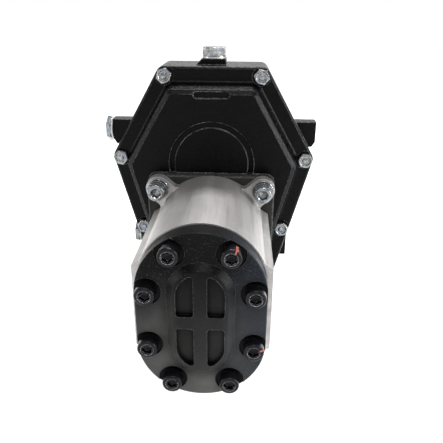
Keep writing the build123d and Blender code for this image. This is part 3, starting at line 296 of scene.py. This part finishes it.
def charcoal():
    """Satin charcoal coating: painted light that makes it lighter below, a painted bluish sheen
    on the right, worn edges, painted shade in its recesses and black spotfaces that are partly
    painted shade.
    """
    s = Shader("charcoal_finish")
    low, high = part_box("pump_end_cover")
    grain = s.noise(0.0009, 3.0, 0.6)
    specks = s.noise(0.0010, 1.0, 0.5)
    rubbed = s.ramp(s.noise(0.002, 2.0), 0.35, 0.65, 0.1, 1.0)
    thin = s.math("MULTIPLY", s.edges(0.0007), rubbed)
    clouds = s.ramp(s.noise(0.03, 3.0, 0.6), 0.3, 0.7, 0.5, 1.0)
    lower = s.ramp(s.along("Z"), high.z - 0.03, low.z)
    sides = s.ramp(s.math("ABSOLUTE", s.along("X")), 0.016, 0.034, 0.30, 1.0)
    foot = s.ramp(s.along("Z"), low.z + 0.034, low.z + 0.012)
    # painted light: the cover is made lighter towards the bottom, most at the sides and the
    # foot, in cloudy patches
    lighten_mask = s.math("MULTIPLY", s.math("MULTIPLY", clouds, lower), s.math("MAXIMUM", sides, foot))
    seats = s.band(s.along("Y"), low.y + SPOTFACE_DROP, SPOTFACE_BAND)
    spotface = s.math("MULTIPLY", s.facing_front(), seats)
    # painted sheen: a speckled bluish sheen over the right-hand side of the cover
    right_side = s.ramp(s.along("X"), 0.010, high.x)
    right = s.math("MULTIPLY", right_side, s.ramp(specks, 0.4, 0.6, 0.5, 1.0))
    colour = s.mix(lighten_mask, (0.0022, 0.0021, 0.0022), (0.100, 0.101, 0.097))
    colour = s.mix(right, colour, (0.016, 0.020, 0.027))
    colour = s.mix(s.ramp(specks, 0.66, 0.74, 0.0, 0.6), colour, (0.05, 0.052, 0.060))
    colour = s.mix(thin, colour, (0.17, 0.168, 0.165))
    # painted shade: near black in the recesses and round the screw heads
    colour = s.mix(s.recess(0.009, 0.45, 0.92), colour, PAINTED_RECESS_SHADE)
    # the forward-facing spotfaces are near black: partly the dark machined seat and partly
    # painted shade round the screw heads
    colour = s.mix(spotface, colour, (0.0004, 0.0004, 0.0005))
    rough = s.ramp(s.noise(0.004, 3.0), 0.3, 0.7, 0.34, 0.46)
    normal = s.bump(grain, 0.00014, 0.6, s.rounded(0.0010))
    return s.finish(colour, rough, 0.0, normal, Specular_IOR_Level=0.055)


def black_oxide():
    """Blackened steel screws with rubbed rims that are partly a painted highlight, and painted
    shade in their sockets.
    """
    s = Shader("black_oxide")
    patches = s.noise(0.005, 3.0, 0.6)
    rubbed = s.ramp(s.noise(0.002, 2.0), 0.35, 0.6, 0.2, 1.0)
    # light rims: partly rubbed steel and partly a painted highlight
    rim_wear_and_glint = s.math("MULTIPLY", s.edges(0.0007), rubbed)
    colour = s.mix(patches, (0.0015, 0.0015, 0.002), (0.006, 0.006, 0.008))
    colour = s.mix(rim_wear_and_glint, colour, (0.62, 0.62, 0.66))
    # painted shade: near black in the sockets and other recesses
    colour = s.mix(s.recess(0.003, 0.3, 0.7), colour, (0.001, 0.001, 0.001))
    normal = s.bump(s.noise(0.0006, 2.0), 0.00006, 0.5, s.rounded(0.0004))
    return s.finish(colour, s.ramp(patches, 0.3, 0.7, 0.14, 0.24), 0.2, normal,
                    Specular_IOR_Level=0.16)


def zinc():
    """Zinc plate with a faint blue passivation, dull spots and painted shade in its recesses.
    """
    s = Shader("zinc_plate")
    patches = s.noise(0.004, 4.0, 0.65)
    tint = s.noise(0.010, 2.0, 0.5, 0.6)
    spots = s.noise(0.0015, 3.0, 0.6)
    colour = s.mix(s.ramp(patches, 0.3, 0.7), (0.10, 0.105, 0.105), (0.34, 0.35, 0.345))
    colour = s.mix(s.ramp(tint, 0.45, 0.75, 0.0, 0.6), colour, (0.15, 0.19, 0.28))
    colour = s.mix(s.ramp(spots, 0.56, 0.70, 0.0, 0.7), colour, (0.04, 0.04, 0.038))
    colour = s.mix(s.math("MULTIPLY", s.edges(0.0005), 0.8), colour, (0.75, 0.76, 0.76))
    # painted shade: near black in the recesses
    colour = s.mix(s.recess(0.0025, 0.45, 0.9), colour, (0.006, 0.006, 0.006))
    normal = s.bump(spots, 0.00010, 0.6, s.rounded(0.0005))
    return s.finish(colour, s.ramp(patches, 0.3, 0.7, 0.18, 0.32), 0.9, normal)


def machined_steel():
    """Turned and ground steel with a fine grain."""
    s = Shader("machined_steel")
    patches = s.noise(0.006, 3.0, 0.6)
    colour = s.mix(patches, (0.24, 0.24, 0.25), (0.38, 0.38, 0.39))
    normal = s.bump(s.noise(0.0005, 3.0), 0.00005, 0.5, s.rounded(0.0005))
    return s.finish(colour, s.ramp(patches, 0.3, 0.7, 0.22, 0.38), 1.0, normal)


def soft_aluminium():
    """Soft sealing washers."""
    s = Shader("soft_aluminium")
    patches = s.noise(0.004, 3.0, 0.6)
    colour = s.mix(patches, (0.30, 0.30, 0.29), (0.50, 0.50, 0.48))
    normal = s.bump(s.noise(0.0008, 3.0), 0.00006, 0.5, s.rounded(0.0003))
    return s.finish(colour, s.ramp(patches, 0.3, 0.7, 0.34, 0.5), 0.9, normal)


def bronze():
    """Bearing bushes."""
    s = Shader("bearing_bronze")
    patches = s.noise(0.005, 3.0, 0.6)
    colour = s.mix(patches, (0.42, 0.27, 0.12), (0.60, 0.42, 0.20))
    normal = s.bump(s.noise(0.0006, 3.0), 0.00006, 0.5)
    return s.finish(colour, s.ramp(patches, 0.3, 0.7, 0.28, 0.45), 1.0, normal)


def rubber():
    """Black seals and O-rings."""
    s = Shader("seal_rubber")
    patches = s.noise(0.004, 3.0, 0.6)
    colour = s.mix(patches, (0.010, 0.010, 0.010), (0.028, 0.027, 0.026))
    normal = s.bump(s.noise(0.0007, 3.0), 0.00010, 0.6)
    return s.finish(colour, s.ramp(patches, 0.3, 0.7, 0.5, 0.72), 0.0, normal)


def gasket():
    """Fibrous gasket paper."""
    s = Shader("gasket_paper")
    fibres = s.noise(0.0012, 4.0, 0.7)
    colour = s.mix(fibres, (0.030, 0.028, 0.026), (0.075, 0.070, 0.062))
    normal = s.bump(fibres, 0.00015, 0.6)
    return s.finish(colour, s.ramp(fibres, 0.3, 0.7, 0.7, 0.9), 0.0, normal)


def torque_paint():
    """Thin orange-red paint, patchy where it was smeared."""
    s = Shader("torque_paint")
    patches = s.noise(0.0012, 3.0, 0.6)
    colour = s.mix(s.ramp(patches, 0.4, 0.62), (0.030, 0.006, 0.004), (0.46, 0.085, 0.04))
    normal = s.bump(patches, 0.00010, 0.6)
    return s.finish(colour, s.ramp(patches, 0.3, 0.7, 0.3, 0.5), 0.0, normal)


SLOTS = {
    "gearbox_paint": black_enamel(),
    "end_cover_finish": charcoal(),
    "pump_aluminium": raw_aluminium(),
    "zinc_plate": zinc(),
    "black_oxide": black_oxide(),
    "machined_steel": machined_steel(),
    "soft_aluminium": soft_aluminium(),
    "bearing_bronze": bronze(),
    "seal_rubber": rubber(),
    "gasket_paper": gasket(),
}


def dress_nodes():
    """Gives every CAD node the material of its slot."""
    for row in frame["record"]["subparts"]:
        mesh = nodes[row["node"]].data
        mesh.materials.clear()
        mesh.materials.append(SLOTS[row["material_slot"]])


dress_nodes()


# ---------------------------------------------------------------- screws and bolts

ROOT = "gearbox_and_pump"
TURNS = 72
CENTRE = 0.0002
CREASE_ANGLE = 35.0
MERGE_DIGITS, ORDER_DIGITS = 6, 4

# Socket head cap screws: the rim is (inset, drop) and the mouth (share of socket, drop).
M10_HEAD, M10_SOCKET, M10_SOCKET_DEPTH = 0.010, 0.008, 0.0055
M10_SHANK_SHARE = 0.62
HEAD_FOOT_BEVEL = 0.0004
HEAD_BAND_INSET = 0.0001
KNURL_RIDGES, KNURL_DEPTH, KNURL_RUNOUT = 36, 0.00018, 0.0003
KNURL_FOOT, KNURL_DROP = 0.0012, 0.0019
RIM = ((0.0002, 0.0009), (0.0006, 0.0003), (0.0013, 0.0))
SOCKET_MOUTH = ((0.625, 0.0), (0.595, 0.0003))
SOCKET_CHAMFER, SOCKET_FLOOR_BEVEL = 0.0009, 0.0005
SOCKET_FLOOR_SHARE, SOCKET_CONE = 0.44, 0.0008

# Hexagon bolts: the dish is (radius, drop), from its rim to the raised middle.
M8_HEAD, M8_FACES, M8_SHANK = 0.0055, 0.013, 0.004
HEX_CONE_INSET, HEX_CONE_ANGLE = 0.0002, math.radians(30)
HEX_FOOT_STEP, HEX_FOOT, HEX_START = 0.0001, 0.0004, 0.0005
DISH = (
    (0.0053, 0.0),
    (0.0049, 0.0003),
    (0.0046, 0.0010),
    (0.0030, 0.0012),
    (0.0026, 0.0006),
    (0.0022, 0.0004),
)
DISH_MIDDLE = 0.0004


def loose_parts(node):
    """Boxes (low, high) of the separate solids in a node's mesh, in a fixed order."""
    mesh = nodes[node].data
    parent = list(range(len(mesh.vertices)))

    def top(index):
        while parent[index] != index:
            parent[index] = parent[parent[index]]
            index = parent[index]
        return index

    seen = {}
    for vertex in mesh.vertices:
        spot = tuple(round(c, MERGE_DIGITS) for c in vertex.co)
        first = seen.setdefault(spot, vertex.index)
        parent[top(vertex.index)] = top(first)
    for edge in mesh.edges:
        a, b = edge.vertices
        parent[top(a)] = top(b)
    groups = {}
    for vertex in mesh.vertices:
        groups.setdefault(top(vertex.index), []).append(vertex.co)
    boxes = []
    for points in groups.values():
        low = Vector([min(p[axis] for p in points) for axis in range(3)])
        high = Vector([max(p[axis] for p in points) for axis in range(3)])
        boxes.append((low, high))

    def order(box):
        return round(box[0].z, ORDER_DIGITS), round(box[0].x, ORDER_DIGITS)

    return sorted(boxes, key=order)


def middle_of(low, high):
    """X and Z of the middle of a box."""
    return (low.x + high.x) / 2, (low.z + high.z) / 2


def hexagon(faces, angle):
    """Radius at an angle of a hexagon that is faces wide."""
    step = math.pi / 3
    return faces / 2 / math.cos(angle % step - step / 2)


def lathe(rows, place, turn):
    """Vertices and faces of rows of (radius, height), where either may follow the angle."""
    vertices, faces = [], []
    for radius, height in rows:
        for index in range(TURNS):
            angle = 2 * math.pi * index / TURNS
            r = radius(angle) if callable(radius) else radius
            h = height(angle) if callable(height) else height
            spot = (r * math.cos(angle + turn), -h, r * math.sin(angle + turn))
            vertices.append(Vector(spot) + place)
    for row in range(len(rows) - 1):
        for index in range(TURNS):
            a, b = row * TURNS + index, row * TURNS + (index + 1) % TURNS
            faces.append((a, b, b + TURNS, a + TURNS))
    faces.append(tuple(range(TURNS)))
    faces.append(tuple(range((len(rows) - 1) * TURNS, len(rows) * TURNS))[::-1])
    return vertices, faces


def add_piece(name, shells, material, body, crease=CREASE_ANGLE):
    """A mesh object made of shells of (vertices, faces), sharp only beyond the crease."""
    vertices, faces = [], []
    for shell_vertices, shell_faces in shells:
        start = len(vertices)
        vertices += shell_vertices
        faces += [tuple(start + index for index in face) for face in shell_faces]
    mesh = bpy.data.meshes.new(name)
    mesh.from_pydata(vertices, [], faces)
    mesh.validate()
    bm = bmesh.new()
    bm.from_mesh(mesh)
    bmesh.ops.recalc_face_normals(bm, faces=bm.faces)
    for face in bm.faces:
        face.smooth = True
    for edge in bm.edges:
        edge.smooth = edge.calc_face_angle(math.pi) < math.radians(crease)
    bm.to_mesh(mesh)
    bm.free()
    mesh.materials.append(material)
    piece = bpy.data.objects.new(name, mesh)
    scene.collection.objects.link(piece)
    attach(piece, body)
    return piece


def cap_screw(low, high, turn):
    """Socket head cap screw with a knurled side and a worn, rounded rim."""
    x, z = middle_of(low, high)
    radius = (high.x - low.x) / 2
    shank = radius * M10_SHANK_SHARE
    band = radius - HEAD_BAND_INSET
    floor = M10_HEAD - M10_SOCKET_DEPTH

    def knurl(angle):
        return radius - KNURL_DEPTH * (0.5 + 0.5 * math.cos(KNURL_RIDGES * angle))

    def socket(angle):
        return hexagon(M10_SOCKET, angle)

    rows = [
        (shank, low.y + M10_HEAD - high.y),
        (shank, 0.0),
        (radius - HEAD_FOOT_BEVEL, 0.0),
        (band, HEAD_FOOT_BEVEL),
        (band, KNURL_FOOT - KNURL_RUNOUT),
        (knurl, KNURL_FOOT),
        (knurl, M10_HEAD - KNURL_DROP),
        (band, M10_HEAD - KNURL_DROP + KNURL_RUNOUT),
    ]
    rows += [(radius - inset, M10_HEAD - drop) for inset, drop in RIM]
    rows += [(M10_SOCKET * share, M10_HEAD - drop) for share, drop in SOCKET_MOUTH]
    rows += [
        (socket, M10_HEAD - SOCKET_CHAMFER),
        (socket, floor + SOCKET_FLOOR_BEVEL),
        (M10_SOCKET * SOCKET_FLOOR_SHARE, floor),
        (CENTRE, floor - SOCKET_CONE),
    ]
    return lathe(rows, Vector((x, low.y + M10_HEAD, z)), turn)


def hex_bolt(low, high, turn):
    """Hexagon bolt with a dished head, a raised middle and corners cut by a cone."""
    x, z = middle_of(low, high)
    face_radius = M8_FACES / 2 - HEX_CONE_INSET
    slope = math.tan(HEX_CONE_ANGLE)

    def side(angle):
        return hexagon(M8_FACES, angle)

    def shoulder(angle):
        return M8_HEAD - (side(angle) - face_radius) * slope

    rows = [
        (M8_SHANK, low.y + M8_HEAD - high.y),
        (M8_SHANK, 0.0),
        (M8_FACES / 2, 0.0),
        (M8_FACES / 2 + HEX_FOOT_STEP, HEX_FOOT),
        (side, HEX_START),
        (side, shoulder),
        (face_radius, M8_HEAD),
    ]
    rows += [(radius, M8_HEAD - drop) for radius, drop in DISH]
    rows += [(CENTRE, M8_HEAD - DISH_MIDDLE)]
    return lathe(rows, Vector((x, low.y + M8_HEAD, z)), turn)


def replace_fasteners():
    """Modelled screws and bolts in the places of the plain ones, each turned its own way."""
    for node, shape, material in (
        ("end_cover_bolts", cap_screw, "black_oxide"),
        ("flange_bolts", cap_screw, "zinc_plate"),
        ("cover_bolts", hex_bolt, "zinc_plate"),
    ):
        turns = random.Random(node)
        shells = [shape(low, high, turns.uniform(0, math.pi / 3))
                  for low, high in loose_parts(node)]
        piece = add_piece(f"{node}_detail", shells, SLOTS[material], ROOT)
        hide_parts(node)


replace_fasteners()


# ---------------------------------------------------------------- torque paint

PAINT_LIFT, PAINT_THICKNESS = 0.00003, 0.00012
PAINT_STAND_OFF = 0.0001
PAINT_RIM_DROP = 0.0009
PAINT_TOP_INSETS = (0.0030, 0.0013)
PAINT_STEPS, PAINT_COLUMNS = 5, 5
PAINT_WOBBLE = (0.75, 1.2)
PAINT_CREASE = 80.0
TORQUE_PAINT = torque_paint()

# Name, right-hand screw counted from below, angle, reach, width and seed of each mark.
PAINT_MARKS = (
    ("torque_paint_upper", 3, 60, 0.007, 0.0019, 3),
    ("torque_paint_lower", 1, 24, 0.003, 0.0014, 5),
)


def paint_mark(name, screw, angle, reach, width, seed):
    """Smear of torque paint over the rim and down the side of a cap screw."""
    low, high = screw
    x, z = middle_of(low, high)
    radius = (high.x - low.x) / 2 + PAINT_STAND_OFF
    wobble = random.Random(seed)
    path = [(radius - inset, -PAINT_LIFT) for inset in PAINT_TOP_INSETS]
    path += [(radius, PAINT_RIM_DROP + reach * step / PAINT_STEPS)
             for step in range(PAINT_STEPS + 1)]
    vertices, faces = [], []
    for r, depth in path:
        for side in range(PAINT_COLUMNS):
            share = side / (PAINT_COLUMNS - 1) - 0.5
            spot = angle + width / radius * share * wobble.uniform(*PAINT_WOBBLE)
            vertices.append(Vector((x + r * math.cos(spot), low.y + depth,
                                    z + r * math.sin(spot))))
    for row in range(len(path) - 1):
        for side in range(PAINT_COLUMNS - 1):
            a = row * PAINT_COLUMNS + side
            b = a + PAINT_COLUMNS
            faces.append((a, a + 1, b + 1, b))
    piece = add_piece(name, [(vertices, faces)], TORQUE_PAINT, ROOT, PAINT_CREASE)
    thick = piece.modifiers.new("thickness", "SOLIDIFY")
    thick.thickness = PAINT_THICKNESS
    thick.offset = 0.0


def mark_screws():
    """Orange torque paint on two of the end cover's screws."""
    screws = loose_parts("end_cover_bolts")
    middle_x = sum(low.x + high.x for low, high in screws) / 2 / len(screws)
    right = [screw for screw in screws if screw[0].x > middle_x]
    for name, index, angle, reach, width, seed in PAINT_MARKS:
        paint_mark(name, right[index], math.radians(angle), reach, width, seed)


mark_screws()


# ---------------------------------------------------------------- floor and light

WHITE = (1.0, 1.0, 1.0, 1.0)
FLOOR_HALF, FLOOR_GAP, FLOOR_GLOW = 6.0, 0.0005, 0.32
LIGHT_TARGET = (0.0, -0.08, -0.02)

# Name, place, width, length and power of each area light.
LIGHTS = (
    ("overhead", (0.15, -0.9, 1.35), 0.7, 0.22, 12.0),
    ("right_strip", (1.3, -0.28, 0.32), 0.22, 0.8, 24.0),
    ("left_strip", (-1.3, -0.35, 0.22), 0.15, 0.7, 7.0),
    ("back_top", (0.1, 0.7, 1.2), 0.8, 0.3, 20.0),
)


def make_stage():
    """A pale floor just under the part."""
    half = FLOOR_HALF
    corners = [(-half, -half, 0), (half, -half, 0), (half, half, 0), (-half, half, 0)]
    mesh = bpy.data.meshes.new("floor")
    mesh.from_pydata(corners, [], [(0, 1, 2, 3)])
    floor = bpy.data.objects.new("floor", mesh)
    floor.location.z = cad_box[0].z - FLOOR_GAP
    scene.collection.objects.link(floor)
    s = Shader("pale_floor")
    colour = s.mix(s.noise(0.3), (0.78, 0.78, 0.78), (0.80, 0.80, 0.80))
    s.finish(colour, 0.8, 0.0, Emission_Color=WHITE, Emission_Strength=FLOOR_GLOW)
    mesh.materials.append(s.material)


def make_light(name, place, width, length, power):
    """A rectangular area light that looks at the part."""
    data = bpy.data.lights.new(name, "AREA")
    data.energy = power
    data.shape = "RECTANGLE"
    data.size = width
    data.size_y = length
    light = bpy.data.objects.new(name, data)
    scene.collection.objects.link(light)
    light.location = place
    light.rotation_mode = "QUATERNION"
    aim = Vector(LIGHT_TARGET) - Vector(place)
    light.rotation_quaternion = aim.to_track_quat("-Z", "Y")


def make_lights():
    """Soft studio lights and a white surrounding."""
    for row in LIGHTS:
        make_light(*row)
    world = bpy.data.worlds.new("world")
    world.use_nodes = True
    background = world.node_tree.nodes["Background"]
    background.inputs["Color"].default_value = WHITE
    background.inputs["Strength"].default_value = 1.0
    scene.world = world
    scene.view_settings.view_transform = "Standard"


make_stage()
make_lights()
